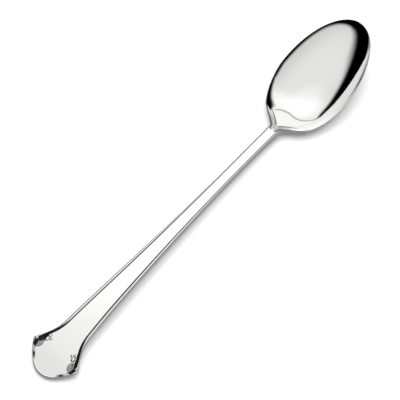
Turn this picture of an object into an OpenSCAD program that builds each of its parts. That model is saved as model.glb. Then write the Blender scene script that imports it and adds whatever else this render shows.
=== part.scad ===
// Infant feeding spoon in polished silver: an egg-shaped bowl hard-soldered to a long threaded handle.
// The spoon lies as it rests on a table: +X towards the bowl's tip, +Z up, origin under its middle.

/* [Bowl] */
// Length of the bowl from the neck to the tip
bowl_l = 40.9; // [36:0.1:52]
// Width of the bowl across its rim
bowl_w = 23.6; // [18:0.2:28]
// Depth of the hollow below the rim
bowl_depth = 5.9; // [4.5:0.1:7.5]
// Thickness of the wall at the bottom of the bowl
bowl_wall = 1.1; // [0.8:0.05:1.6]
// Width of the flat rim around the hollow
rim_w = 0.6; // [0.4:0.05:0.9]
// Height of the rim's outer edge
rim_h = 1.1; // [0.6:0.05:1.3]
// Angle of the rim's plane above the table, rising towards the tip
rim_tilt = 18; // [12:0.5:22]
// How far the rim's plane passes below the top of the neck
rim_dip = 3.3; // [1.5:0.1:4.5]

/* [Handle] */
// Length of the handle from its end to the neck
handle_l = 99.1; // [80:0.1:125]
// Width of the stem behind the neck
stem_w = 3.6; // [3:0.1:5]
// Width that the taper adds towards the handle's end
taper_w = 7.7; // [4:0.1:9]
// Width that the flare adds at the shoulders
flare_w = 6.6; // [4:0.1:9]
// Radius of the rounded end between the two shoulders
end_r = 6.1; // [5:0.1:7]
// How far the crest of the handle stands above the neck
arch = 1.1; // [0.6:0.05:2.4]
// Thickness of the handle at its end
end_t = 2.1; // [1.8:0.05:2.8]
// Thickness of the handle at the neck
neck_t = 3.7; // [2.4:0.05:3.8]
// How far the handle's back is rounded at its end
end_round = 0.6; // [0.3:0.05:0.9]
// How far the handle's back is rounded at the neck
neck_round = 1.1; // [0.6:0.05:1.4]

/* [Threaded border] */
// Width of the border where it meets the shoulder scrolls
border_w = 1.3; // [0.9:0.05:1.6]
// Width of the border at the neck
border_neck_w = 0.6; // [0.4:0.05:0.8]
// Height of the raised thread
thread_h = 0.22; // [0.1:0.02:0.4]
// Depth of the groove between the thread and the panel
groove_h = 0.1; // [0:0.02:0.2]

/* [Shoulder scrolls] */
// Width that the scroll adds to the border at each shoulder
scroll_w = 1.9; // [1:0.1:2.4]
// Radius of the boss in the middle of each scroll
boss_r = 0.7; // [0.5:0.05:0.9]
// Radius of the largest bead beside each scroll
bead_r = 0.55; // [0.4:0.05:0.7]
// Height of the boss and beads above the metal around them
bead_h = 0.35; // [0.2:0.05:0.5]

/* [Soldered joint] */
// Length of the scarf between the handle and the bowl's heel
scarf_l = 6; // [4:0.5:9]
// Thickness of the solder film, square to the joint
solder_t = 0.1; // [0.05:0.01:0.15]

/* [Hidden] */

silver = [0.85, 0.85, 0.83];
solder_grey = [0.74, 0.74, 0.7];

// Places along the handle, measured from its end
spoon_l = handle_l + bowl_l;
notch_x = 1.7;
shoulder_x = 7;
flare_l = 9.5;
border_x = 12;
border_start_x = shoulder_x - 3;
border_start_l = 4;
border_fade_x = 0.2 * handle_l;
border_l = 0.75 * handle_l;
crest_x = 0.33 * handle_l;
taper_l = 0.87 * handle_l;

// Places along the bowl, measured from the handle's end
apex_x = handle_l + 0.8;
hollow_open_l = 3;
neck_flare_x = handle_l - 1;
neck_flare_l = 0.2 * bowl_l;
wide_x = handle_l + 0.48 * bowl_l;
deep_x = handle_l + 0.54 * bowl_l;
egg_l = 0.42 * bowl_l;
edge_fade_x = handle_l - 2;
edge_fade_l = 0.25 * bowl_l;
back_fade_l = 8;
thread_fade_x = handle_l - 3;
thread_fade_l = 6;

// The heel that fills the corner under the neck
heel_x = handle_l + 1.3;
heel_l = 3.6;
heel_w = 0.3;

// The scarf between handle and bowl, and where the handle's rings begin to lean towards it
turn_x = handle_l - 15;
scarf_top_x = handle_l - 0.5;
scarf_bottom_x = scarf_top_x - scarf_l;
scarf_end_x = handle_l + 0.5;

// Small flats that close the two ends, and how much the metal is worn flat where it rests
end_flat = 0.6;
tip_flat = 0.5;
wear = 0.1;

// The line inside the handle's end, and the least share of the width that the panel keeps
line_w = 0.45;
panel_least = 0.3;

// Scroll, boss and three beads at each shoulder: places, and each bead's share of the largest radius
scroll_x = shoulder_x + 0.3;
scroll_l = 1.5;
boss_x = shoulder_x + 0.1;
boss_inset = 1.15;
bead_x = shoulder_x + 1.6;
bead_inset = 3.7;
bead_steps = [[0, 0], [1.25, 0], [0.6, -0.8]];
bead_shares = [1, 0.85, 0.65];

// How sharply the curves turn: higher powers stay straight for longer
flare_power = 2.2;
shoulder_power = 1.3;
egg_power = 1.76;
arch_power = 2.5;
tip_power = 0.8;
throat_power = 1.7;
taper_power = 1.6;
stem_back_power = 2.6;

// How far two curves blend where they meet
corner_blend = 0.8;
neck_blend = 1;
back_blend = 0.8;
rim_blend = 2;

// Share of the border that the groove takes
groove_share = 0.3;

// Points across half a section: steps over the panel, then shares of the border
panel_steps = 8;
border_shares = [0.15, 0.35, 0.6, 0.85, 1];
across = panel_steps + len(border_shares);

// Blends between two values
function mix(a, b, t) = a + (b - a) * t;
function smooth(t) = let(c = min(max(t, 0), 1)) c * c * (3 - 2 * c);
function smooth_max(a, b, k) = max(a, b) + pow(max(k - abs(a - b), 0), 2) / (4 * k);
function smooth_min(a, b, k) = -smooth_max(-a, -b, k);
function bell(d, r) = exp(-pow(d / r, 2));
function dome(d, r) = sqrt(max(0, 1 - pow(d / r, 2)));
function arc(y, half, rise) =
    let(r = (half * half + rise * rise) / (2 * rise))
    max(0, sqrt(max(0, r * r - y * y)) - r + rise);

// Half width of the plan outline
function stem_half(x) =
    stem_w / 2
    + taper_w / 2 * pow(max(0, 1 - x / taper_l), taper_power)
    + flare_w / 2 * pow(max(0, 1 - (x - shoulder_x) / flare_l), flare_power);
function end_half(x, r, flat) = sqrt(max(0, flat * flat + 2 * r * x - x * x));
function shoulder_half(x) =
    let(s = min(1, (x - notch_x) / (shoulder_x - notch_x)), w0 = end_half(notch_x, end_r, end_flat))
    mix(w0, stem_half(shoulder_x), 1 - pow(1 - s, shoulder_power));
function egg_half(x, inset, flat) =
    let(w = bowl_w / 2 - inset, tip = (spoon_l - inset - wide_x) / sqrt(1 - pow(flat / w, 2)))
    x > wide_x
        ? w * dome(x - wide_x, tip)
        : w * sqrt(max(0, 1 - pow((wide_x - x) / (egg_l - inset), egg_power)));
function bowl_half(x) =
    let(stem = stem_half(x), wider = smooth_max(egg_half(x, 0, tip_flat) - stem, 0, neck_blend))
    stem + wider * smooth((x - neck_flare_x) / neck_flare_l);
function half_w(x) =
    x < notch_x ? end_half(x, end_r, end_flat)
    : x < 2 * shoulder_x ? smooth_min(shoulder_half(x), stem_half(x), corner_blend)
    : x < neck_flare_x ? stem_half(x)
    : bowl_half(x);
function back_half(x) = half_w(x) + heel_w * bell(x - heel_x, heel_l);

// Half width of the panel between the borders, which opens into the hollow of the bowl
function border(x) =
    x < border_x
        ? mix(line_w, border_w, smooth((x - border_start_x) / border_start_l))
            + scroll_w * bell(x - scroll_x, scroll_l)
        : mix(border_w, border_neck_w, smooth((x - border_fade_x) / border_l));
function panel_half(x) =
    let(w = half_w(x))
    x < notch_x ? max(panel_least * w, end_half(x - line_w, end_r - line_w, 0))
    : x < handle_l ? w - border(x)
    : x < wide_x ? w - rim_w
    : max(panel_least * w, min(w - rim_w, egg_half(x, rim_w, 0)));
function hollow_half(x) =
    panel_half(x) * dome(max(0, apex_x + hollow_open_l - x), hollow_open_l);

// Depth of the bowl on the centre line, of its hollow, which is eased at the neck,
// and of the rounded back below the outer edge
function bowl_mid(x, neck_power) =
    x < deep_x
        ? bowl_depth * pow(max(0, 1 - pow((deep_x - x) / (deep_x - apex_x), 2)), neck_power)
        : bowl_depth * pow(max(0, 1 - pow((x - deep_x) / (spoon_l - rim_w - deep_x), 2)), tip_power);
function hollow_mid(x) = bowl_mid(x, throat_power);
function back_mid(x) =
    let(full = bowl_depth + bowl_wall - rim_h, near = (deep_x - x) / (deep_x - handle_l))
    x < deep_x
        ? smooth_max(stem_round(x), full * max(0, 1 - near * near), back_blend)
        : full * pow(max(0, 1 - pow((x - deep_x) / (spoon_l - deep_x), 2)), tip_power);
function stem_round(x) = mix(end_round, neck_round, smooth(x / handle_l));
function stem_edge(x) = mix(end_t - end_round, neck_t - neck_round, smooth(x / handle_l));
function edge_h(x) = mix(stem_edge(x), rim_h, smooth((x - edge_fade_x) / edge_fade_l));

// Height of the top line: the arched handle runs into the tilted plane of the rim.
// The neck stands as high as it must for the bowl's belly to meet the table.
function stem_rise(x) = arch * (1 - pow((x - crest_x) / (handle_l - crest_x), arch_power));
function rim_rise(x) = tan(rim_tilt) * (x - handle_l) - rim_dip;
function neck_rise(x) = smooth_max(stem_rise(x), rim_rise(x), rim_blend);
belly_drop = max([for (x = [handle_l : 0.5 : spoon_l]) bowl_mid(x, 1) + bowl_wall - neck_rise(x)]);
neck_h = belly_drop - wear;
crest_h = neck_h + arch;
end_h = end_t - wear;
function top_line(x) =
    x < crest_x
        ? crest_h - (crest_h - end_h) * pow(1 - x / crest_x, arch_power)
        : neck_h + neck_rise(x);

// Relief on the top face: thread and groove in the border, boss and beads at the shoulder
function thread(q) =
    q < groove_share
        ? -groove_h * sin(180 * q / groove_share)
        : thread_h * dome(2 * q - 1 - groove_share, 1 - groove_share);
function bump(x, y, place, r) = bead_h * dome(norm([x - place[0], y - place[1]]), r);
boss_at = [boss_x, stem_half(shoulder_x) - boss_inset];
bead_at = [bead_x, stem_half(shoulder_x) - bead_inset];
function ornament(x, y) =
    max(bump(x, y, boss_at, boss_r),
        max([for (i = [0 : 2]) bump(x, y, bead_at + bead_steps[i], bead_shares[i] * bead_r)]));
function relief(x, y) =
    let(p = panel_half(x), q = (y - p) / (half_w(x) - p), fade = smooth((x - thread_fade_x) / thread_fade_l))
    (1 - fade) * (q > 0 ? thread(q) : 0) + (x < 2 * shoulder_x ? ornament(x, y) : 0);
function hollow(x, y) =
    let(h = hollow_half(x))
    h > 0 ? arc(y, h, hollow_mid(x)) : 0;

// Half a section, from the centre line to the edge: the top face, and the back below it
function across_y(x, i) =
    let(p = panel_half(x), w = half_w(x))
    i <= panel_steps ? p * i / panel_steps : mix(p, w, border_shares[i - panel_steps - 1]);
function top_at(x, i) = let(y = across_y(x, i)) [x, y, top_line(x) + relief(x, y) - hollow(x, y)];
function back_at(x, i) =
    let(w = half_w(x), y = across_y(x, i), deep = back_mid(x),
        stem = deep * (1 - pow(y / w, stem_back_power)),
        drop = mix(stem, deep > 0 ? arc(y, w, deep) : 0, smooth((x - handle_l) / back_fade_l)))
    [x, y / w * back_half(x), max(0, top_line(x) - edge_h(x) - drop)];

// A closed ring of points. Its top and its back may lie at different places, which slants the ring.
function flip(p) = [p[0], -p[1], p[2]];
function ring(s) =
    [
        for (i = [0 : across]) top_at(s[0], i),
        for (i = [across : -1 : 0]) back_at(s[1], i),
        for (i = [1 : across]) flip(back_at(s[1], i)),
        for (i = [across : -1 : 1]) flip(top_at(s[0], i)),
    ];
ring_n = 4 * across + 2;

// Faces of a closed skin over a row of rings
function side_faces(n) =
    [
        for (r = [0 : n - 2])
        for (i = [0 : ring_n - 1])
        let(j = (i + 1) % ring_n, a = r * ring_n, b = a + ring_n)
        each [[a + i, a + j, b + j], [a + i, b + j, b + i]],
    ];
function top_index(i) = i >= 0 ? i : ring_n + i;
function back_index(i) = 2 * across + 1 - i;
function cap_faces(base) =
    [
        for (i = [-across : across - 1])
        let(a = base + top_index(i), b = base + top_index(i + 1),
            c = base + back_index(i + 1), d = base + back_index(i))
        each [[a, d, c], [a, c, b]],
    ];
function turned(faces) = [for (f = faces) [f[2], f[1], f[0]]];
module skin(stations) {
    n = len(stations);
    points = [for (s = stations) each ring(s)];
    faces = concat(side_faces(n), cap_faces(0), turned(cap_faces((n - 1) * ring_n)));
    translate([-spoon_l / 2, 0, 0])
        polyhedron(points, faces, convexity = 8);
}

// Rows of stations, closer together where the outline turns
function upright(x) = [x, x];
function row(from, to, steps) = [for (i = [0 : steps - 1]) upright(mix(from, to, i / steps))];
function easing(from, to, steps) =
    [for (i = [0 : steps - 1]) upright(mix(from, to, pow(i / steps, 2)))];
function settling(from, to, steps) =
    [for (i = [0 : steps]) upright(mix(from, to, 1 - pow(1 - i / steps, 2)))];
function slant(from, to, steps) = [for (i = [0 : steps - 1]) mix(from, to, i / steps)];
scarf = [scarf_top_x, scarf_bottom_x];
film = solder_t * norm([scarf_l, neck_t]) / neck_t;
scarf_far = [scarf_top_x + film, scarf_bottom_x + film];

handle_stations = concat(
    easing(0, notch_x, 7),
    row(notch_x, shoulder_x, 10),
    row(shoulder_x, 2 * shoulder_x, 16),
    row(2 * shoulder_x, turn_x, 22),
    slant(upright(turn_x), scarf, 7),
    [scarf]);
bowl_stations = concat(
    slant(scarf_far, upright(scarf_end_x), 6),
    row(scarf_end_x, handle_l + 9, 14),
    row(handle_l + 9, wide_x + 6, 12),
    settling(wide_x + 6, spoon_l, 20));

module bowl() {
    color(silver)
        skin(bowl_stations);
}
module handle() {
    color(silver)
        skin(handle_stations);
}
module solder_seam() {
    color(solder_grey)
        skin([scarf, scarf_far]);
}

bowl();
handle();
solder_seam();
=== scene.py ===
# Looks of the infant feeding spoon: dense polished-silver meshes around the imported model
import math

import bmesh
import bpy
import numpy as np
from mathutils import Matrix, Vector


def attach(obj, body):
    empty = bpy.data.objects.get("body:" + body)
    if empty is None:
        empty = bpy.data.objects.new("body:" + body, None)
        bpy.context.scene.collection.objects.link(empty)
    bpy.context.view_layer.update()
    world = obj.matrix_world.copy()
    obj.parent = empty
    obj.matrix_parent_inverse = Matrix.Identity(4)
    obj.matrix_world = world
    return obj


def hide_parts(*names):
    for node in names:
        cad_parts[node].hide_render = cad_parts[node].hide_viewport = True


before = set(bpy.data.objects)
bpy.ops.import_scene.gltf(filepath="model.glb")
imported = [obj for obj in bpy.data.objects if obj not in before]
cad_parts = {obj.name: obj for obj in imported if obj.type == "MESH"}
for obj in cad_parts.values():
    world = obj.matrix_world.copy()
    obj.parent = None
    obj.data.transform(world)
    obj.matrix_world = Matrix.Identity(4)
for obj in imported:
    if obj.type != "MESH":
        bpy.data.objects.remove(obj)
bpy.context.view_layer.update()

MM = 0.001

# All sizes are in millimetres, and x is measured from the handle's end.
# A pair named RUN, IN or OUT is a smooth change: where it starts and how long it takes.

# Sizes of the part
HANDLE_L = 99.1
BOWL_L = 40.9
SPOON_L = HANDLE_L + BOWL_L
BOWL_W = 23.6
BOWL_DEPTH = 5.9
BOWL_WALL = 1.1
WEAR = 0.1

# Scarf joint
SCARF_L = 6.0
SOLDER_T = 0.1
SCARF_TOP_X = HANDLE_L - 0.5
SCARF_END_X = HANDLE_L + 0.5
TURN_X = HANDLE_L - 15

# Plan outline: round end, notch, shoulder, tapered stem and egg-shaped bowl
END_R = 6.1
NOTCH_X = 1.7
SHOULDER_X = 7.0
SHOULDER_POWER = 1.3
SHOULDER_BLEND = 0.8
STEM_W = 3.6
TAPER_W = 7.7
TAPER_L = 0.87 * HANDLE_L
TAPER_POWER = 1.6
FLARE_W = 6.6
FLARE_L = 9.5
FLARE_POWER = 2.2
NECK_FLARE_IN = (HANDLE_L - 1.0, 0.2 * BOWL_L)
NECK_BLEND = 1.0
WIDE_X = HANDLE_L + 0.48 * BOWL_L
EGG_L = 0.42 * BOWL_L
EGG_SOFT = 1.5
EGG_POWER = 1.76

# Top line: arch of the stem, tilt of the rim
ARCH = 1.1
ARCH_POWER = 2.5
CREST_X = 0.33 * HANDLE_L
RIM_TILT = 18.0
RIM_DIP = 3.3
RIM_BLEND = 2.0
BELLY_STEP = 0.5

# Hollow of the bowl
APEX_X = HANDLE_L + 0.6
DEEP_X = HANDLE_L + 0.54 * BOWL_L
HOLLOW_FROM_X = HANDLE_L - 6
HOLLOW_OPEN_L = 2.8
THROAT_POWER = 1.7
TIP_POWER = 0.8
LAND_W = 0.1
APEX_SLOPE = 0.6
OUTSIDE_LIMIT = 1.0
CREASE_SOFT = 0.06

# Back: thickness of the stem, its rounded back, the wall under the rim and the heel
END_T = 2.1
NECK_T = 3.7
END_ROUND = 0.6
NECK_ROUND = 1.1
STEM_RUN = (0.0, HANDLE_L)
BACK_ACROSS_POWER = 3.4
BACK_DOWN_POWER = 2.2
BACK_BLEND = 0.8
BOWL_BACK_IN = (HANDLE_L - 3, 9)
RIM_H = 1.1
RIM_WALL_IN = (HANDLE_L - 2, 0.25 * BOWL_L)
RIM_WALL_POWER = 6
RIM_WALL_LEAST_POWER = 3
HEEL_X = HANDLE_L + 1.3
HEEL_L = 3.6
HEEL_W = 0.3
HEEL_DEPTH_IN = (0.0, 1.2)

# Edge of the top face, and the slight crown of the panel
RIM_IN = (HANDLE_L, 6)
STEM_EDGE_DROP = 0.4
RIM_EDGE_DROP = 0.1
STEM_EDGE_R = 0.48
RIM_EDGE_R = 0.1
PANEL_CROWN = 0.1
PANEL_LEAST_W = 0.5
PANEL_IN = (0.0, 8)
PANEL_OUT = (HANDLE_L - 8, 8)

# Border of the handle: its width along the outline
BORDER_W = 1.3
BORDER_NECK_W = 0.6
BORDER_X = 12.0
BORDER_TAPER_RUN = (0.2 * HANDLE_L, 0.75 * HANDLE_L)
LINE_W = 0.45
LINE_OUT = (NOTCH_X, 0.7)
NOTCH_W = 0.8
NOTCH_OUT = (4, 4)
SCROLL_X = 7.3
SCROLL_L = 1.5
SCROLL_W = 1.9
SCROLL_LIMIT = 2.2

# Shape across the border: step and thread on the stem, scroll at the shoulder, ridge round the end
STEP_SLOPE = 1.7
STEP_BLEND = 0.03
THREAD_AT = 0.56
THREAD_TOP = 0.06
THREAD_ROUND = 1.15
SCROLL_SLOPE = 0.62
SCROLL_BLEND = 0.06
CLIMB_SLOPE = 0.9
CLIMB_DEPTH = 0.64
CLIMB_TOP = 0.05
CLIMB_BLEND = 0.1
SCROLL_IN = (4.4, 1.4)
SCROLL_OUT = (9.5, 4)
RIDGE_H = 0.26
RIDGE_OUT = (1.2, 0.8)
RELIEF_OUT = (HANDLE_L + 0.5, 4)

# Volute, boss and beads at each shoulder: centres, radii and heights, and the tarnish around them
VOLUTE = (6.65, 6.05)
VOLUTE_R = (1.35, 1.05)
VOLUTE_H = 0.14
VOLUTE_DARK = 0.62
VOLUTE_DARK_OUT = (0.8, 0.2)
VOLUTE_EDGE_DARK = 0.9
VOLUTE_EDGE_W = 0.14
BOSS = (7.1, 7.45)
BOSS_R = (0.55, 0.55)
BOSS_H = 0.34
BOSS_BRIGHT = 0.95
BEADS = [((8.6, 4.9), (0.62, 0.46)), ((9.85, 4.88), (0.46, 0.46)), ((9.2, 4.05), (0.4, 0.4))]
BEAD_H = 0.36
BEAD_SINK = 0.06
BEAD_BRIGHT = 0.9
BEAD_DARK = 0.6
BEAD_DARK_AT = 1.1
BEAD_DARK_W = 0.2

# Tarnish in the border: shares of its width, from the panel (0) to the outline (1)
LINE_SOFT_IN = 0.07
LINE_SOFT_OUT = 0.1
LINES_IN = (4.0, 0.5)
GROOVE_LOW = 0.01
GROOVE_HIGH = 0.22
GROOVE_GROWTH = 0.1
GROOVE_RUN = (30, 40)
SECOND_SPAN = (0.5, 0.56)
SECOND_DARK = 0.8
SECOND_IN = (10, 4)
SCROLL_DARK_HIGH = 0.74
SCROLL_DARK_IN = (4.6, 0.4)
SCROLL_DARK_OUT = (10, 8)
SCROLL_LIFT = 0.3
SCROLL_LIFT_L = 1.8
CRESCENT_SPAN = (0.05, 0.75)
CRESCENT_X = 3.0
CRESCENT_L = 0.75

# Painted shade and reflection in the throat: a dark crease along the hollow's edge, a dark V of two
# arms, and dark patches outside the V
CREASE_AT = 0.2
CREASE_W = 0.3
CREASE_IN = (APEX_X, 0.3)
CREASE_OUT = (HANDLE_L + 6, 3)
ARM_X = (101.7, 102.7, 103.45, 104.3, 104.85, 105.7)
ARM_Y = (0.0, 0.9, 1.6, 2.7, 3.5, 4.9)
ARM_SLANT = 0.6
ARM_W = 0.22
ARM_DARK = 0.92
ARM_IN = (ARM_X[0] + 0.1, 0.5)
ARM_OUT = (ARM_X[-1] - 0.7, 1.2)
PATCH_DARK = 0.42
PATCH_ARM_IN = (-0.2, 0.4)
PATCH_RIM_IN = (0.0, 0.3)
PATCH_IN = (APEX_X + 0.4, 0.4)
PATCH_OUT = (HANDLE_L + 4.2, 2.0)

# Density of the meshes: ribs along the spoon, and points across it
END_RIBS = 60
END_FOOT_X = 3.4
FAN_END_X = 16
FAN_SAMPLES = 4000
FAN_STEP = 0.085
FAN_LEAN = 2.6
FAN_LEAN_OUT = (NOTCH_X, 11.6)
STEM_RIBS = 240
LEAN_RIBS = 60
NECK_RIBS = 16
THROAT_RIBS = 100
THROAT_END_X = HANDLE_L + 8
BOWL_RIBS = 60
TIP_RIBS = 150
PANEL_POINTS = 34
BORDER_POINTS = 44
BORDER_CROWDING = 1.25
BORDER_MOST = 0.72
RIM_ZONE_W = 1.2
RIM_ZONE_IN = (HANDLE_L, 4)
BACK_POINTS = 30
BACK_CROWDING = 0.7
BACK_LEAN_IN = (0.0, 0.3)

# Least values that keep divisions safe, and the distance in metres for welding
LEAST = 1e-3
LEAST_DEPTH = 1e-4
NOTHING = 1e-9
WELD = 1e-8


def mix(a, b, t):
    return a + (b - a) * t


def smooth(t):
    c = np.clip(t, 0, 1)
    return c * c * (3 - 2 * c)


def comes_in(x, run):
    """From 0 before the run to 1 after it."""
    start, length = run
    return smooth((x - start) / length)


def goes_out(x, run):
    """From 1 before the run to 0 after it."""
    return 1 - comes_in(x, run)


def smooth_max(a, b, k):
    return np.maximum(a, b) + np.maximum(k - np.abs(a - b), 0) ** 2 / (4 * k)


def smooth_min(a, b, k):
    return -smooth_max(-a, -b, k)


def bell(d, r):
    return np.exp(-((d / r) ** 2))


def dome(q):
    return np.sqrt(np.maximum(0, 1 - q * q))


def arc_height(half, height, y):
    """Height at y of a circle's arc that spans a chord of twice half."""
    r = (half * half + height * height) / (2 * height)
    return np.sqrt(np.maximum(r * r - y * y, 0)) - r + height


def radial(x, y, centre, radii):
    """Distance from the centre of an ellipse, 1 on its edge."""
    return np.hypot((x - centre[0]) / radii[0], (y - centre[1]) / radii[1])


# Plan outline
def stem_half(x):
    taper = np.maximum(0, 1 - x / TAPER_L) ** TAPER_POWER
    flare = np.maximum(0, 1 - (x - SHOULDER_X) / FLARE_L) ** FLARE_POWER
    return STEM_W / 2 + TAPER_W / 2 * taper + FLARE_W / 2 * flare


def egg_half(x, inset):
    w = BOWL_W / 2 - inset
    tip = w * dome((x - WIDE_X) / (SPOON_L - inset - WIDE_X))
    d = np.maximum(0, WIDE_X - x)
    run = (d * d + EGG_SOFT * EGG_SOFT) ** (EGG_POWER / 2) - EGG_SOFT**EGG_POWER
    run = run / (EGG_L - inset) ** EGG_POWER
    return np.where(x > WIDE_X, tip, w * np.sqrt(np.maximum(0, 1 - run)))


def half_w(x):
    x = np.asarray(x, float)
    notch_w = math.sqrt(END_R**2 - (END_R - NOTCH_X) ** 2)
    s = np.clip((x - NOTCH_X) / (SHOULDER_X - NOTCH_X), 0, 1)
    shoulder = mix(notch_w, stem_half(SHOULDER_X), 1 - (1 - s) ** SHOULDER_POWER)
    end = np.sqrt(np.maximum(0, 2 * END_R * x - x * x))
    stem = stem_half(x)
    egg = egg_half(x, 0)
    wider = smooth_max(egg - stem, 0, NECK_BLEND) * comes_in(x, NECK_FLARE_IN)
    bowl = np.where(x > WIDE_X, egg, stem + wider)
    near = np.where(x < 2 * SHOULDER_X, smooth_min(shoulder, stem, SHOULDER_BLEND), bowl)
    return np.where(x < NOTCH_X, end, near)


# Height of the top line along the spoon
def stem_rise(x):
    fall = np.maximum(0, (x - CREST_X) / (HANDLE_L - CREST_X)) ** ARCH_POWER
    return ARCH * (1 - fall)


def rim_rise(x):
    return math.tan(math.radians(RIM_TILT)) * (x - HANDLE_L) - RIM_DIP


def neck_rise(x):
    return smooth_max(stem_rise(x), rim_rise(x), RIM_BLEND)


def bowl_mid(x, neck_power):
    """Depth of the hollow along its middle; a higher power eases it in at the neck."""
    share = 1 - ((DEEP_X - x) / (DEEP_X - APEX_X)) ** 2
    neck = BOWL_DEPTH * np.maximum(0, share) ** neck_power
    run = np.clip((x - DEEP_X) / (SPOON_L - LAND_W - DEEP_X), 0, 1)
    tip = BOWL_DEPTH * (1 - run**2) ** TIP_POWER
    return np.where(x < DEEP_X, neck, tip)


belly_x = np.arange(HANDLE_L, SPOON_L, BELLY_STEP)
NECK_H = float((bowl_mid(belly_x, 1) + BOWL_WALL - neck_rise(belly_x)).max()) - WEAR
CREST_H = NECK_H + ARCH
END_H = END_T - WEAR


def top_line(x):
    fall = np.maximum(0, 1 - x / CREST_X) ** ARCH_POWER
    handle = CREST_H - (CREST_H - END_H) * fall
    return np.where(x < CREST_X, handle, NECK_H + neck_rise(x))


# Hollow of the bowl: depth below the rim, with a soft crease at its edge
def hollow_half(x):
    inner = np.where(x > WIDE_X, egg_half(x, LAND_W), half_w(x) - LAND_W)
    opening = dome(np.clip((APEX_X + HOLLOW_OPEN_L - x) / HOLLOW_OPEN_L, 0, 1))
    return np.maximum(inner * opening, LEAST)


def hollow(x, y):
    depth = np.maximum(bowl_mid(x, THROAT_POWER), LEAST)
    raw = arc_height(hollow_half(x), depth, y)
    raw = np.where(x > APEX_X, raw, -APEX_SLOPE * (APEX_X - x))
    raw = np.where(x < SPOON_L - LAND_W, raw, -(x - SPOON_L + LAND_W))
    return smooth_max(np.maximum(raw, -OUTSIDE_LIMIT), 0.0, CREASE_SOFT)


# Width of the border between the outline and the panel, measured along a rib
def border(x):
    stem = mix(BORDER_W, BORDER_NECK_W, comes_in(x, BORDER_TAPER_RUN))
    end = mix(NOTCH_W, BORDER_W, comes_in(x, NOTCH_OUT)) + SCROLL_W * bell(x - SCROLL_X, SCROLL_L)
    end = mix(LINE_W, end, comes_in(x, LINE_OUT))
    return np.where(x < BORDER_X, end, stem)


# Stations along the outline: a point on the outline and the foot of its rib on the centre line
def end_stations():
    """Ribs that fan out over the round end and the shoulders."""
    sweep = math.acos(1 - NOTCH_X / END_R)
    a = np.linspace(0, sweep, END_RIBS, endpoint=False)
    foot = mix(END_FOOT_X, NOTCH_X + FAN_LEAN, a / sweep)
    arc = np.stack([END_R - END_R * np.cos(a), END_R * np.sin(a), foot], 1)
    x = np.linspace(NOTCH_X, FAN_END_X, FAN_SAMPLES)
    y = half_w(x)
    length = np.concatenate([[0], np.cumsum(np.hypot(np.diff(x), np.diff(y)))])
    s = np.linspace(0, length[-1], int(length[-1] / FAN_STEP))
    x, y = np.interp(s, length, x), np.interp(s, length, y)
    foot = x + FAN_LEAN * goes_out(x, FAN_LEAN_OUT)
    return np.concatenate([arc, np.stack([x, y, foot], 1)])


def straight_stations(x):
    return np.stack([x, half_w(x), x], 1)


def tip_stations():
    """Ribs that fan out towards the outline of the bowl's tip."""
    a, b = SPOON_L - WIDE_X, BOWL_W / 2
    t = np.linspace(0, math.pi / 2, TIP_RIBS)[1:]
    foot = WIDE_X + (a * a - b * b) / a * t / (math.pi / 2)
    return np.stack([WIDE_X + a * np.sin(t), b * np.cos(t), foot], 1)


# Relief of the handle; share runs across the border, from the panel (0) to the outline (1)
def border_profile(share, width):
    """Height across the border: a steep step down from the panel, then a half-round thread."""
    step = -STEP_SLOPE * share
    thread = THREAD_TOP - THREAD_ROUND * (share - THREAD_AT) ** 2
    return width * smooth_max(step, thread, STEP_BLEND)


def scroll_profile(share, width):
    """Height across a scroll: a slope down from the panel, a groove and a climb to a thread."""
    climb = smooth_min(CLIMB_SLOPE * share - CLIMB_DEPTH, CLIMB_TOP, CLIMB_BLEND)
    return width * smooth_max(-SCROLL_SLOPE * share, climb, SCROLL_BLEND)


def end_ridge(share, width):
    """Height across the raised line round the end."""
    return width * RIDGE_H * (1 - (2 * share - 1) ** 2)


def border_height(share, ox):
    """Height of the border at a rib; ox is the rib's place along the outline."""
    width = np.minimum(border(ox), SCROLL_LIMIT)
    at_scroll = comes_in(ox, SCROLL_IN) * goes_out(ox, SCROLL_OUT)
    profile = mix(border_profile(share, width), scroll_profile(share, width), at_scroll)
    profile = mix(end_ridge(share, width), profile, comes_in(ox, RIDGE_OUT))
    return np.where(share > 0, profile, 0.0)


def line(share, low, high):
    """A dark line between two shares of the border."""
    return smooth((share - low) / LINE_SOFT_IN) * (1 - smooth((share - high) / LINE_SOFT_OUT))


def recess_lines(share, ox):
    """Dark lines of the border: the groove beside the panel, a second groove and the scrolls."""
    scroll = comes_in(ox, SCROLL_DARK_IN) * goes_out(ox, SCROLL_DARK_OUT)
    low = GROOVE_LOW + SCROLL_LIFT * bell(ox - SCROLL_X, SCROLL_LIFT_L)
    high = GROOVE_HIGH + GROOVE_GROWTH * comes_in(ox, GROOVE_RUN)
    groove = line(share, low, mix(high, SCROLL_DARK_HIGH, scroll))
    along = comes_in(ox, SECOND_IN) * goes_out(ox, GROOVE_RUN)
    second = SECOND_DARK * line(share, *SECOND_SPAN) * along
    crescent = line(share, *CRESCENT_SPAN) * bell(ox - CRESCENT_X, CRESCENT_L)
    return np.maximum(np.maximum(groove, second) * comes_in(ox, LINES_IN), crescent)


def add_volute(x, y, h, dark):
    q = radial(x, y, VOLUTE, VOLUTE_R)
    dark = np.maximum(dark, VOLUTE_DARK * goes_out(q, VOLUTE_DARK_OUT))
    dark = np.maximum(dark, VOLUTE_EDGE_DARK * bell(q - 1, VOLUTE_EDGE_W))
    return h + VOLUTE_H * dome(np.minimum(q, 1)), dark


def add_boss(x, y, in_border, h, dark):
    q = radial(x, y, BOSS, BOSS_R)
    dark = np.where(q < BOSS_BRIGHT, 0.0, dark)
    return h + BOSS_H * dome(np.minimum(q, 1)) * in_border, dark


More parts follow.
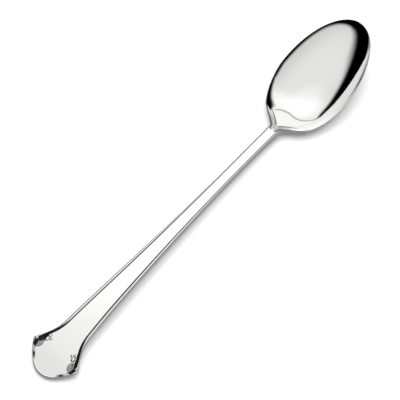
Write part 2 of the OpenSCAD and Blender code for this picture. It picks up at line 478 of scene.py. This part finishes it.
def add_beads(x, y, h, dark):
    for centre, radii in BEADS:
        q = radial(x, y, centre, radii)
        dark = np.maximum(dark, BEAD_DARK * bell(q - BEAD_DARK_AT, BEAD_DARK_W))
        dark = np.where(q < BEAD_BRIGHT, 0.0, dark)
        bead = BEAD_H * dome(np.minimum(q, 1)) - BEAD_SINK
        h = np.where(q < 1, np.maximum(h, bead), h)
    return h, dark


def throat_painted_shade(x, y):
    """Painted shade along the crease where the hollow narrows into the handle, and painted dark
    reflections in patches outside the V.
    """
    inward = hollow_half(x) - np.abs(y)
    crease = bell(inward - CREASE_AT, CREASE_W) * comes_in(x, CREASE_IN) * goes_out(x, CREASE_OUT)
    outside = comes_in(np.abs(y) - np.interp(x, ARM_X, ARM_Y), PATCH_ARM_IN)
    along = comes_in(x, PATCH_IN) * goes_out(x, PATCH_OUT)
    patch = PATCH_DARK * outside * comes_in(inward, PATCH_RIM_IN) * along
    return np.maximum(crease, patch)


def throat_painted_reflection(x, y):
    """Painted dark reflection in the throat: a V of two arms that spread from the neck."""
    off = ARM_SLANT * (np.abs(y) - np.interp(x, ARM_X, ARM_Y))
    return ARM_DARK * bell(off, ARM_W) * comes_in(x, ARM_IN) * goes_out(x, ARM_OUT)


def relief(x, y, share, ox):
    """Relief of the top face, with tarnish in the border's recesses and painted shade and painted
    dark reflections in the throat.
    """
    fade = goes_out(ox, RELIEF_OUT)
    h = border_height(share, ox) * fade
    dark = recess_lines(share, ox) * fade
    h, dark = add_volute(x, y, h, dark)
    h, dark = add_boss(x, y, share > 0, h, dark)
    h, dark = add_beads(x, y, h, dark)
    # Painted dark reflection of the V, then painted shade along the throat's crease and patches
    dark = np.maximum(dark, throat_painted_reflection(x, y))
    return h, np.maximum(dark, throat_painted_shade(x, y))


# Top face
def edge_drop(x):
    """How far the rounded outer edge falls before the side wall starts."""
    return mix(STEM_EDGE_DROP, RIM_EDGE_DROP, comes_in(x, RIM_IN))


def top_height(x, y, d_out):
    """Height of the top face without its relief; d_out is the distance from the outline."""
    on_stem = goes_out(x, PANEL_OUT) * comes_in(x, PANEL_IN)
    across = y / np.maximum(half_w(x), PANEL_LEAST_W)
    panel = PANEL_CROWN * (1 - across**2) * on_stem
    radius = mix(STEM_EDGE_R, RIM_EDGE_R, comes_in(x, RIM_IN))
    edge = edge_drop(x) * (1 - dome(np.clip(1 - d_out / radius, 0, 1)))
    z = top_line(x) + panel - edge
    return np.where(x > HOLLOW_FROM_X, z - hollow(x, y), z)


# Back: its drop below the edge, at share t of a rib, from the centre line (0) to the edge (1)
def stem_back(x, t):
    thick = mix(END_T, NECK_T, comes_in(x, STEM_RUN)) - edge_drop(x)
    return thick * np.maximum(0, 1 - t**BACK_ACROSS_POWER) ** (1 / BACK_DOWN_POWER)


def belly_arc(x, y):
    full = BOWL_DEPTH + BOWL_WALL - RIM_H
    run = (DEEP_X - x) / (DEEP_X - HANDLE_L)
    near = full * np.maximum(0, 1 - run * run)
    run = np.clip((x - DEEP_X) / (SPOON_L - DEEP_X), 0, 1)
    far = full * np.maximum(0, 1 - run**2) ** TIP_POWER
    stem_round = mix(END_ROUND, NECK_ROUND, comes_in(x, STEM_RUN))
    deep = np.where(x < DEEP_X, smooth_max(stem_round, near, BACK_BLEND), far)
    deep = np.maximum(deep, LEAST_DEPTH)
    return np.maximum(0, arc_height(np.maximum(half_w(x), LEAST), deep, y))


def rim_wall(x, t, rib):
    stem_wall = mix(END_T - END_ROUND, NECK_T - NECK_ROUND, comes_in(x, STEM_RUN))
    wall = mix(stem_wall, RIM_H, comes_in(x, RIM_WALL_IN)) - edge_drop(x)
    power = np.maximum(RIM_WALL_LEAST_POWER, RIM_WALL_POWER * rib)
    return wall * np.sqrt(np.maximum(0, 1 - t**power))


def back_drop(x, y, t, rib):
    bowl = rim_wall(x, t, rib) + belly_arc(x, y)
    return mix(stem_back(x, t), bowl, comes_in(x, BOWL_BACK_IN))


# Sections
def top_rows(stations):
    """Half top sections on the far half, from the centre line to the outline: points and their
    darkening, which is tarnish in the border's recesses and painted shade in the throat.
    """
    ox, oy, foot = (stations[:, [k]] for k in range(3))
    length = np.hypot(ox - foot, oy)
    most = BORDER_MOST * length
    width = np.minimum(border(ox), most)
    zone = np.minimum(mix(width, RIM_ZONE_W, comes_in(ox, RIM_ZONE_IN)), most)
    inner = np.linspace(0, 1, PANEL_POINTS, endpoint=False) * (length - zone)
    s = np.linspace(0, 1, BORDER_POINTS)
    outer = length - zone + zone * (1 - (1 - s) ** BORDER_CROWDING)
    run = np.concatenate([inner, outer], 1)
    v = run / np.maximum(length, NOTHING)
    x, y = foot + (ox - foot) * v, oy * v
    d_out = length - run
    share = 1 - d_out / width
    share = np.where(share > NOTHING, share, 0.0)
    h, dark = relief(x, y, share, np.broadcast_to(ox, x.shape))
    return np.stack([x, y, top_height(x, y, d_out) + h], -1), dark


def back_row(station, back_x):
    """Half a back section on the far half, from the outline to the centre line.

    back_x is where a section that leans with the scarf meets the underside.
    """
    ox, oy, foot = station
    t = np.cos(np.linspace(0, math.pi / 2, BACK_POINTS + 1)[1:]) ** BACK_CROWDING
    t[-1] = 0.0
    shift = 0.0 if back_x is None else back_x - ox
    lean = comes_in(1 - t, BACK_LEAN_IN) * shift
    x = foot + (ox - foot) * t + lean
    y = np.where(np.abs(lean) > 0, half_w(x) * t, oy * t)
    drop = back_drop(x, y, t, math.hypot(ox - foot, oy))
    heel = HEEL_W * bell(x - HEEL_X, HEEL_L) * comes_in(drop, HEEL_DEPTH_IN) * t
    return x, y + heel, np.maximum(top_line(x) - edge_drop(x) - drop, 0.0)


def build_rings(stations, backs):
    """Closed rings of points in millimetres with their darkening (tarnish, and painted shade in the
    throat): far half, then near half.
    """
    tops, darks = top_rows(stations)
    rings, tarnish_and_painted_shade = [], []
    for top, dark, station, back_x in zip(tops, darks, stations, backs):
        far = np.concatenate([top, np.stack(back_row(station, back_x), 1)])
        shade = np.concatenate([dark, np.zeros(BACK_POINTS)])
        rings.append(np.concatenate([far, far[1:-1][::-1] * [1, -1, 1]]))
        tarnish_and_painted_shade.append(np.concatenate([shade, shade[1:-1][::-1]]))
    return rings, tarnish_and_painted_shade


# Meshes
def add_cap(bm, loop):
    """Close a ring with a fan of faces behind a sharp edge."""
    centre = bm.verts.new(sum((v.co for v in loop), Vector()) / len(loop))
    for a, b in zip(loop, loop[1:] + loop[:1]):
        bm.faces.new((a, b, centre))
        bm.edges.get((a, b)).smooth = False


def ring_quads(count, m):
    """Faces between each ring of m points and the next."""
    i = np.arange(count - 1)[:, None] * m
    j = np.arange(m)[None, :]
    nxt = (j + 1) % m
    return np.stack([i + j, i + m + j, i + m + nxt, i + nxt], -1).reshape(-1, 4)


def add_mesh(name, rings, tarnish_and_painted_shade, cap_start, cap_end):
    m = len(rings[0])
    points = (np.concatenate(rings) - [SPOON_L / 2, 0, 0]) * MM
    mesh = bpy.data.meshes.new(name)
    mesh.from_pydata(points.tolist(), [], ring_quads(len(rings), m).tolist())
    # The attribute holds tarnish in the border's recesses and painted shade and dark reflections in
    # the throat
    layer = mesh.attributes.new("tarnish_and_painted_shade", "FLOAT", "POINT")
    layer.data.foreach_set("value", np.concatenate(tarnish_and_painted_shade).astype(np.float32))
    bm = bmesh.new()
    bm.from_mesh(mesh)
    for ring, wanted in ((0, cap_start), (len(rings) - 1, cap_end)):
        if wanted:
            bm.verts.ensure_lookup_table()
            add_cap(bm, [bm.verts[ring * m + k] for k in range(m)])
    bmesh.ops.remove_doubles(bm, verts=bm.verts, dist=WELD)
    bmesh.ops.dissolve_degenerate(bm, edges=bm.edges, dist=WELD)
    bmesh.ops.recalc_face_normals(bm, faces=bm.faces)
    for face in bm.faces:
        face.smooth = True
    bm.to_mesh(mesh)
    bm.free()
    obj = bpy.data.objects.new(name, mesh)
    bpy.context.scene.collection.objects.link(obj)
    return obj


# Handle: the fan at its end, the stem, and sections that lean over to the scarf
end_ribs = end_stations()
stem_x = np.linspace(FAN_END_X, TURN_X, STEM_RIBS)[1:-1]
lean_x = np.linspace(TURN_X, SCARF_TOP_X, LEAN_RIBS)
lean_back = np.linspace(TURN_X, SCARF_TOP_X - SCARF_L, LEAN_RIBS)
handle_stations = np.concatenate([end_ribs, straight_stations(stem_x), straight_stations(lean_x)])
handle_backs = [None] * (len(end_ribs) + len(stem_x)) + list(lean_back)
handle_rings, handle_dark = build_rings(handle_stations, handle_backs)

# Bowl: sections that lean back from the scarf, the throat, the middle and the fan at the tip
film = SOLDER_T * math.hypot(SCARF_L, NECK_T) / NECK_T
neck_x = np.linspace(SCARF_TOP_X + film, SCARF_END_X, NECK_RIBS)
neck_back = np.linspace(SCARF_TOP_X + film - SCARF_L, SCARF_END_X, NECK_RIBS)
throat_x = np.linspace(SCARF_END_X, THROAT_END_X, THROAT_RIBS)[1:]
bowl_x = np.concatenate([throat_x, np.linspace(THROAT_END_X, WIDE_X, BOWL_RIBS)[1:]])
tip_ribs = tip_stations()
bowl_stations = np.concatenate([straight_stations(neck_x), straight_stations(bowl_x), tip_ribs])
bowl_backs = list(neck_back) + [None] * (len(bowl_x) + len(tip_ribs))
bowl_rings, bowl_dark = build_rings(bowl_stations, bowl_backs)

# Solder: the film between the handle's last ring and the bowl's first
seam_rings = [handle_rings[-1], bowl_rings[0]]
seam_dark = [handle_dark[-1], bowl_dark[0]]

handle = add_mesh("handle_polished", handle_rings, handle_dark, False, True)
bowl = add_mesh("bowl_polished", bowl_rings, bowl_dark, True, False)
seam = add_mesh("solder_line", seam_rings, seam_dark, True, True)


# Materials
FACTOR, FLOAT_A, FLOAT_B, COLOUR_A, COLOUR_B = 0, 2, 3, 6, 7
FLOAT_OUT, COLOUR_OUT = 0, 2
SILVER_COLOUR = (0.97, 0.968, 0.962)
SILVER_ROUGH = (0.03, 0.05)
SOLDER_COLOUR = (0.9, 0.895, 0.885)
SOLDER_ROUGH = (0.05, 0.06)
TARNISH_AND_SHADE_COLOUR = (0.025, 0.025, 0.027)
TARNISH_AND_SHADE_ROUGH = 0.35
WEAR_SCALE = 140
WEAR_DETAIL = 6
WEAR_RANGE = (0.35, 0.75)


def wear_roughness(nodes, links, least, span):
    """Roughness that varies with faint wear."""
    coords = nodes.new("ShaderNodeTexCoord")
    noise = nodes.new("ShaderNodeTexNoise")
    noise.inputs["Scale"].default_value = WEAR_SCALE
    noise.inputs["Detail"].default_value = WEAR_DETAIL
    links.new(coords.outputs["Object"], noise.inputs["Vector"])
    spread = nodes.new("ShaderNodeMapRange")
    spread.inputs["From Min"].default_value = WEAR_RANGE[0]
    spread.inputs["From Max"].default_value = WEAR_RANGE[1]
    spread.inputs["To Min"].default_value = least
    spread.inputs["To Max"].default_value = least + span
    links.new(noise.outputs["Fac"], spread.inputs["Value"])
    return spread.outputs["Result"]


def polished_metal(name, colour, roughness):
    """Polished silver with faint wear, dark tarnish left in the recesses, and painted shade and
    painted dark reflections in the throat, all from one attribute.
    """
    mat = bpy.data.materials.new(name)
    mat.use_nodes = True
    nodes, links = mat.node_tree.nodes, mat.node_tree.links
    bsdf = nodes["Principled BSDF"]
    bsdf.inputs["Metallic"].default_value = 1.0
    # One dark colour for both the tarnish and the painted shade and reflections in the throat
    tarnish_and_painted_shade = nodes.new("ShaderNodeAttribute")
    tarnish_and_painted_shade.attribute_name = "tarnish_and_painted_shade"
    tone = nodes.new("ShaderNodeMix")
    tone.data_type = "RGBA"
    tone.inputs[COLOUR_A].default_value = (*colour, 1)
    tone.inputs[COLOUR_B].default_value = (*TARNISH_AND_SHADE_COLOUR, 1)
    links.new(tarnish_and_painted_shade.outputs["Fac"], tone.inputs[FACTOR])
    links.new(tone.outputs[COLOUR_OUT], bsdf.inputs["Base Color"])
    rough = nodes.new("ShaderNodeMix")
    rough.data_type = "FLOAT"
    rough.inputs[FLOAT_B].default_value = TARNISH_AND_SHADE_ROUGH
    links.new(tarnish_and_painted_shade.outputs["Fac"], rough.inputs[FACTOR])
    links.new(wear_roughness(nodes, links, *roughness), rough.inputs[FLOAT_A])
    links.new(rough.outputs[FLOAT_OUT], bsdf.inputs["Roughness"])
    return mat


silver = polished_metal("polished_silver", SILVER_COLOUR, SILVER_ROUGH)
solder = polished_metal("silver_solder", SOLDER_COLOUR, SOLDER_ROUGH)

for piece, node, slot, mat in ((bowl, "bowl", "polished_silver", silver),
                               (handle, "handle", "polished_silver", silver),
                               (seam, "solder_seam", "silver_solder", solder)):
    piece.data.materials.append(mat)
    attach(piece, "root")
    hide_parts(node)


# Floor, in metres
FLOOR_HALF = 1.5
PAPER_GREY = 0.9
PAPER_ROUGH = 0.9
PAPER_SPECULAR = 0.1
plan = ((-1, -1), (1, -1), (1, 1), (-1, 1))
corners = [(FLOOR_HALF * x, FLOOR_HALF * y, 0) for x, y in plan]
floor_mesh = bpy.data.meshes.new("floor")
floor_mesh.from_pydata(corners, [], [(0, 1, 2, 3)])
floor = bpy.data.objects.new("floor", floor_mesh)
bpy.context.scene.collection.objects.link(floor)
paper = bpy.data.materials.new("white_paper")
paper.use_nodes = True
paper_bsdf = paper.node_tree.nodes["Principled BSDF"]
paper_bsdf.inputs["Base Color"].default_value = (PAPER_GREY, PAPER_GREY, PAPER_GREY, 1)
paper_bsdf.inputs["Roughness"].default_value = PAPER_ROUGH
paper_bsdf.inputs["Specular IOR Level"].default_value = PAPER_SPECULAR
floor_mesh.materials.append(paper)
floor.visible_glossy = False

# Studio around the spoon
world = bpy.data.worlds.new("studio")
bpy.context.scene.world = world
world.use_nodes = True
wn, wl = world.node_tree.nodes, world.node_tree.links
wn.clear()


def feed(socket, value):
    """Set a socket to a number, or link another socket to it."""
    if isinstance(value, (int, float)):
        socket.default_value = value
    else:
        wl.new(value, socket)


def ramp(value, lo, hi, to_lo=0.0, to_hi=1.0):
    n = wn.new("ShaderNodeMapRange")
    n.interpolation_type = "SMOOTHSTEP"
    wl.new(value, n.inputs["Value"])
    for key, v in (("From Min", lo), ("From Max", hi), ("To Min", to_lo), ("To Max", to_hi)):
        n.inputs[key].default_value = v
    return n.outputs["Result"]


def calc(op, a, b):
    n = wn.new("ShaderNodeMath")
    n.operation = op
    feed(n.inputs[0], a)
    feed(n.inputs[1], b)
    return n.outputs[0]


def blend(a, b, t):
    n = wn.new("ShaderNodeMix")
    n.data_type = "FLOAT"
    feed(n.inputs[FACTOR], t)
    feed(n.inputs[FLOAT_A], a)
    feed(n.inputs[FLOAT_B], b)
    return n.outputs[FLOAT_OUT]


coords = wn.new("ShaderNodeTexCoord")
parts = wn.new("ShaderNodeSeparateXYZ")
wl.new(coords.outputs["Generated"], parts.inputs[0])
dir_x, dir_y, dir_z = parts.outputs
turn = calc("ADD", calc("MULTIPLY", calc("ARCTAN2", dir_y, dir_x), 0.5 / math.pi), 0.5)


def around(stops, kind="B_SPLINE"):
    """A value by compass direction, from pairs of degrees and value."""
    n = wn.new("ShaderNodeValToRGB")
    n.color_ramp.interpolation = kind
    elements = n.color_ramp.elements
    while len(elements) < len(stops):
        elements.new(0.5)
    for element, (degrees, value) in zip(elements, stops):
        element.position = (degrees + 180) / 360
        element.color = (value, value, value, 1)
    wl.new(turn, n.inputs["Fac"])
    return n.outputs["Color"]


def sines(stops):
    return [(az, math.sin(math.radians(el))) for az, el in stops]


# What polished surfaces see: a dome over a dark band of uneven height, a white card that cuts
# into the band, the card's thin upper edge, and a grey table. BAND, BAND_SOFT and ARCH_LINE are
# pairs of compass direction and height in degrees, TABLE of direction and brightness.
BAND = [(-180, 28.5), (-170, 26.5), (-160, 24), (-150, 21.5), (-140, 19), (-130, 16.5),
        (-120, 14.2), (-110, 12.2), (-97, 11.5), (-87, 14), (-76, 19.5), (-67, 24.5),
        (-56, 28.5), (-47, 31), (-39, 32.5), (-30, 34), (-22, 34.8), (-14, 34.8),
        (-10, 31), (-7, 18), (-4, 13), (56, 13), (63, 16), (70, 23), (80, 25), (90, 26.7),
        (100, 28.8), (110, 31), (120, 33.3), (135, 36), (155, 33.5), (180, 28.5)]
BAND_SOFT = [(-180, 3), (-150, 3), (-110, 4), (-97, 4), (-87, 4), (-76, 3), (-60, 2.5),
             (-30, 2), (-20, 2), (-10, 4), (-2, 5), (10, 4), (55, 4), (65, 4), (80, 4.5),
             (90, 4.5), (110, 4.5), (120, 5.5), (135, 8), (150, 7), (165, 5), (180, 3)]
ARCH_LINE = [(-180, -60), (-11, -60), (-10, 20), (-7, 33), (-1, 37), (5, 39), (12, 39), (15, 39),
             (21, 37), (30, 32), (37, 28), (45, 24), (52, 21), (59, 17), (66, 15), (67, -60),
             (180, -60)]
TABLE = [(-180, 0.7), (-120, 1), (-20, 1), (20, 0.8), (60, 0.6), (100, 0.65), (150, 0.8), (180, 0.7)]

# Ramps: from low, from high, to low, to high
SIDE_TINT = (0.1, 0.62, 0.79, 1.05)
SIDE_SLANT = 0.3
HEIGHT_TINT = (0.3, 0.85, 0.82, 1.0)
SOFTBOX_DIR = (0.331, 0.2875, 0.899)
SOFTBOX_GLOW = (0.8, 0.99, 0.0, 0.12)
CARD_LIGHT = 0.97
CARD_EDGE = (-0.01, 0.01)
ARCH_SHADE = (0.0, 0.04, 0.45, 1.0)
BAND_EDGE = (-1.0, 1.0)
TABLE_SHADE = (0.1, 0.9, 0.4, 0.31)
TABLE_EDGE = (0.0, 0.05)
DOME_LIGHT = 0.4
BACKDROP = 1.0

side = calc("ADD", dir_x, calc("MULTIPLY", dir_y, SIDE_SLANT))
tint = calc("MULTIPLY", ramp(side, *SIDE_TINT), ramp(dir_z, *HEIGHT_TINT))
toward = [calc("MULTIPLY", a, b) for a, b in zip((dir_x, dir_y, dir_z), SOFTBOX_DIR)]
facing = calc("ADD", calc("ADD", toward[0], toward[1]), toward[2])
tint = calc("ADD", tint, ramp(facing, *SOFTBOX_GLOW))
above = calc("SUBTRACT", dir_z, around(sines(ARCH_LINE), "LINEAR"))
tint = blend(CARD_LIGHT, tint, ramp(above, *CARD_EDGE))
arch = ramp(calc("ABSOLUTE", above, 0.0), *ARCH_SHADE)
over = calc("DIVIDE", calc("SUBTRACT", dir_z, around(sines(BAND))), around(sines(BAND_SOFT)))
dome_light = calc("MULTIPLY", calc("MULTIPLY", ramp(over, *BAND_EDGE), tint), arch)
down = calc("MULTIPLY", dir_z, -1.0)
table = calc("MULTIPLY", ramp(down, *TABLE_SHADE), ramp(down, *TABLE_EDGE))
table = calc("MULTIPLY", table, around(TABLE))
seen = calc("MAXIMUM", dome_light, table)

# The floor is lit by an even dome, and the backdrop is plain white
path = wn.new("ShaderNodeLightPath")
lit = blend(seen, DOME_LIGHT, path.outputs["Is Diffuse Ray"])
level = blend(lit, BACKDROP, path.outputs["Is Camera Ray"])
background = wn.new("ShaderNodeBackground")
wl.new(level, background.inputs["Strength"])
background.inputs["Color"].default_value = (1, 1, 1, 1)
out = wn.new("ShaderNodeOutputWorld")
wl.new(background.outputs[0], out.inputs["Surface"])


def pointing(azimuth, elevation):
    """Unit vector at a compass direction and a height."""
    plan = Vector((math.cos(azimuth), math.sin(azimuth), 0)) * math.cos(elevation)
    return plan + Vector((0, 0, math.sin(elevation)))


# Key light almost straight above, in metres and watts; it lights the floor and isn't mirrored
KEY_POWER = 11.0
KEY_SIZE = 0.9
KEY_DISTANCE = 0.8
KEY_DIR = pointing(math.radians(15), math.radians(83))
key = bpy.data.lights.new("key", "AREA")
key.shape = "RECTANGLE"
key.size, key.size_y = KEY_SIZE, KEY_SIZE
key.energy = KEY_POWER
key_obj = bpy.data.objects.new("key", key)
key_obj.location = KEY_DIR * KEY_DISTANCE
key_obj.rotation_euler = KEY_DIR.to_track_quat("Z", "Y").to_euler()
key_obj.visible_glossy = False
bpy.context.scene.collection.objects.link(key_obj)

# Camera: turned about the upright axis, raised, and rolled a little; focal length in picture widths
CAMERA_TURN = math.radians(-49.02)
CAMERA_EL = math.radians(64)
CAMERA_ROLL = math.radians(0.2)
CAMERA_DISTANCE = 0.7
CAMERA_TARGET = Vector((-0.969, 0.868, 4.929)) * MM
SENSOR_W = 36
FOCAL_WIDTHS = 2434 / 400
CLIP_START = 0.01
back = pointing(CAMERA_TURN - math.pi / 2, CAMERA_EL)
level_right = pointing(CAMERA_TURN, 0)
right = Matrix.Rotation(CAMERA_ROLL, 3, back) @ level_right
up = back.cross(right)
cam = bpy.data.cameras.new("camera")
cam.sensor_width = SENSOR_W
cam.lens = SENSOR_W * FOCAL_WIDTHS
cam.clip_start = CLIP_START
cam_obj = bpy.data.objects.new("camera", cam)
turned = Matrix((right, up, back)).transposed().to_4x4()
cam_obj.matrix_world = Matrix.Translation(CAMERA_TARGET + back * CAMERA_DISTANCE) @ turned
bpy.context.scene.collection.objects.link(cam_obj)
bpy.context.scene.camera = cam_obj
bpy.context.scene.view_settings.view_transform = "Standard"
